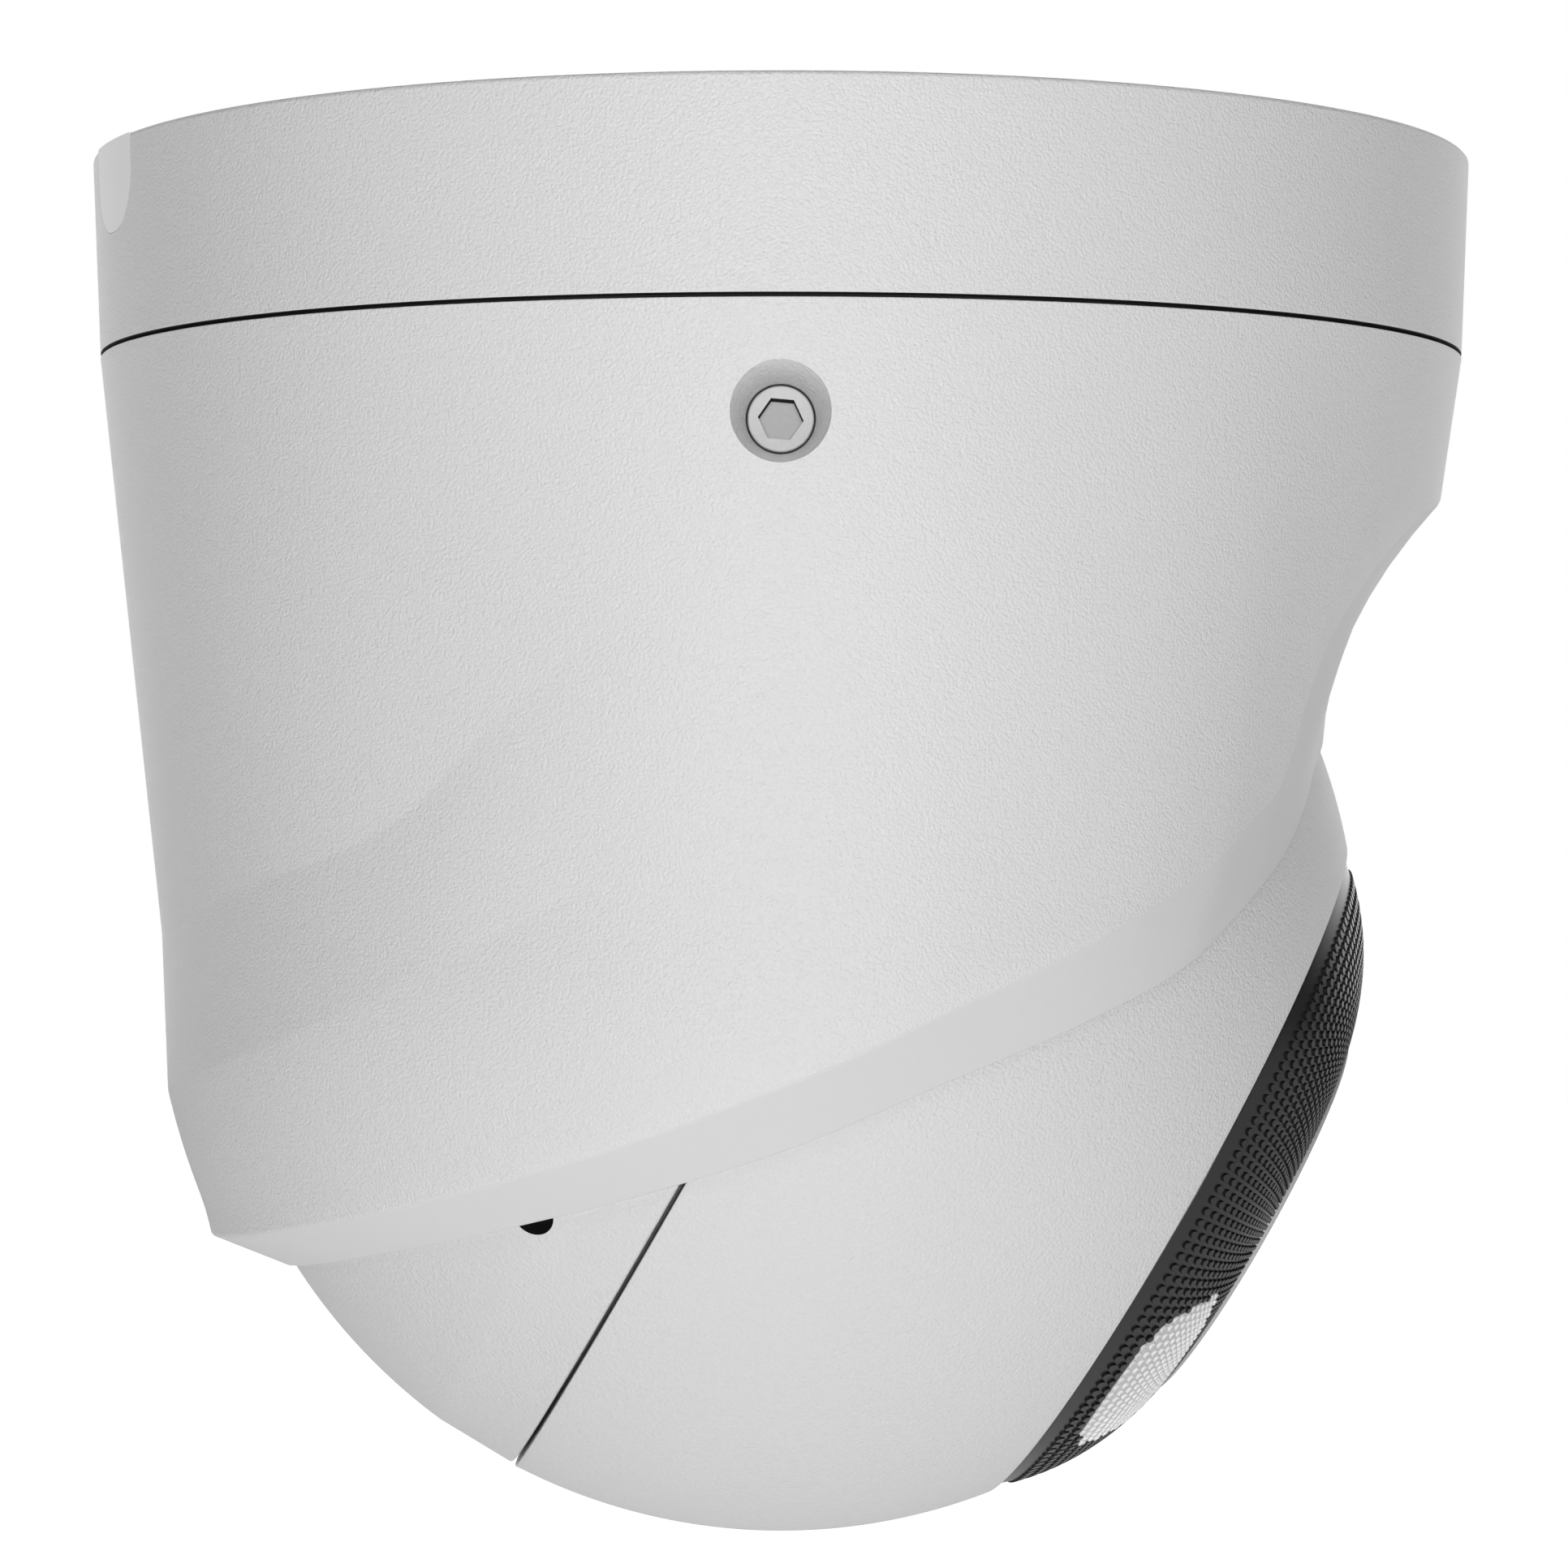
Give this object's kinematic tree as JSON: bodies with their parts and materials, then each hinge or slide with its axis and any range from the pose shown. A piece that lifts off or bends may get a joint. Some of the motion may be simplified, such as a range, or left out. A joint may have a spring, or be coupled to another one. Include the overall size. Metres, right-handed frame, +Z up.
{
  "type": "turret security camera",
  "caption": "Ceiling turret camera: flat round base, tapering shell turning on it, and a ball with a dimpled black face, lens disc and light windows that tilts and rolls in the shell's mouth.",
  "frame": {"origin": "centre of the flat top face of the mounting base, where it meets the ceiling, on the pan axis", "axes": "+Z up into the ceiling along the pan axis, +X to the front where the lens looks, +Y to the camera's left; the lens axis points 29.3 degrees below +X at rest"},
  "size_m": [0.12, 0.12, 0.119],
  "materials": {
    "painted_shell": "light grey powder coat, fine texture",
    "smooth_plug": "smooth light grey moulding",
    "painted_ball": "light grey powder coat, very fine texture",
    "black_rubber": "black moulded rubber",
    "foam": "closed-cell foam",
    "spring_steel": "bare spring steel",
    "steel": "zinc-plated steel",
    "screw_steel": "light grey coated steel",
    "brass": "machined brass",
    "aluminium": "die-cast or sheet aluminium",
    "black_face": "black polycarbonate with small dimples",
    "clear_pane": "clear dimpled polycarbonate",
    "disc_glass": "polished glass",
    "lens_glass": "coated optical glass",
    "black_plastic": "black moulded plastic",
    "clear_plastic": "clear moulded plastic",
    "circuit_board": "solder-masked circuit board",
    "chip_black": "moulded chip package",
    "sensor_silicon": "sensor under cover glass",
    "thermal_grey": "soft thermal pad",
    "flex_amber": "polyimide ribbon",
    "ir_blue": "infrared-cut glass",
    "connector_white": "moulded connector shell"
  },
  "bodies": {
    "base": {"mounting_base": "painted_shell", "side_exit_plug": "smooth_plug", "ceiling_gasket": "foam", "cable_grommet": "black_rubber", "seam_seal": "black_rubber", "clamp_spring": "spring_steel"},
    "shell": {"shell_housing": "painted_shell", "screw_inserts": "brass", "clamp_ring": "aluminium", "friction_pads": "black_rubber"},
    "lock_screw_near": {"lock_screw_near": "screw_steel"},
    "lock_screw_far": {"lock_screw_far": "screw_steel"},
    "ball_rear": {"ball_rear_cap": "painted_ball", "swivel_ring": "aluminium", "snap_ring": "spring_steel", "swivel_seal": "black_rubber", "cap_screws": "steel", "cable_gland": "black_plastic", "gland_seal": "black_rubber", "gland_nut": "brass"},
    "ball_front": {"ball_front_housing": "painted_ball", "window_gasket": "black_rubber", "front_window": "black_face", "light_window_near": "clear_pane", "light_window_far": "clear_pane", "lens_glass": "disc_glass", "glass_seal": "black_rubber", "lens_hood": "black_rubber", "lens_barrel": "aluminium", "front_element": "lens_glass", "rear_element": "lens_glass", "lens_lock_ring": "brass", "lens_holder": "black_plastic", "image_sensor": "sensor_silicon", "sensor_board": "circuit_board", "sensor_flex": "flex_amber", "module_bracket": "aluminium", "bracket_screws": "steel", "main_board": "circuit_board", "board_standoffs": "brass", "board_screws": "steel", "processor_chip": "chip_black", "memory_chips": "chip_black", "board_connectors": "connector_white", "thermal_pad": "thermal_grey", "heat_spreader": "aluminium", "led_board": "circuit_board", "leds": "chip_black", "led_lenses": "clear_plastic", "card_socket": "steel", "memory_card": "chip_black", "filter_motor": "black_plastic"},
    "ir_filter": {"filter_frame": "black_plastic", "ir_cut_glass": "ir_blue", "clear_glass": "clear_plastic"}
  },
  "joints": [
    {"name": "pan", "type": "hinge", "parent": "base", "child": "shell", "pos_m": [0, 0, 0], "axis": [0, 0, 1], "range_deg": [-180, 180]},
    {"name": "tilt", "type": "hinge", "parent": "shell", "child": "ball_rear", "pos_m": [0, 0, -0.06855], "axis": [0, 1, 0], "range_deg": [-12, 60.7]},
    {"name": "roll", "type": "hinge", "parent": "ball_rear", "child": "ball_front", "pos_m": [0, 0, -0.06855], "axis": [0.8721, 0, -0.4894], "range_deg": [-175, 175]},
    {"name": "lock_near_turn", "type": "hinge", "parent": "shell", "child": "lock_screw_near", "pos_m": [0, -0.0513, -0.0256], "axis": [0, -1, 0], "range_deg": [0, 360]},
    {"name": "lock_far_turn", "type": "hinge", "parent": "shell", "child": "lock_screw_far", "pos_m": [0, 0.0513, -0.0256], "axis": [0, 1, 0], "range_deg": [0, 360]},
    {"name": "filter_slide", "type": "slide", "parent": "ball_front", "child": "ir_filter", "axis": [0, 1, 0], "range_m": [0, 0.008]}
  ]
}
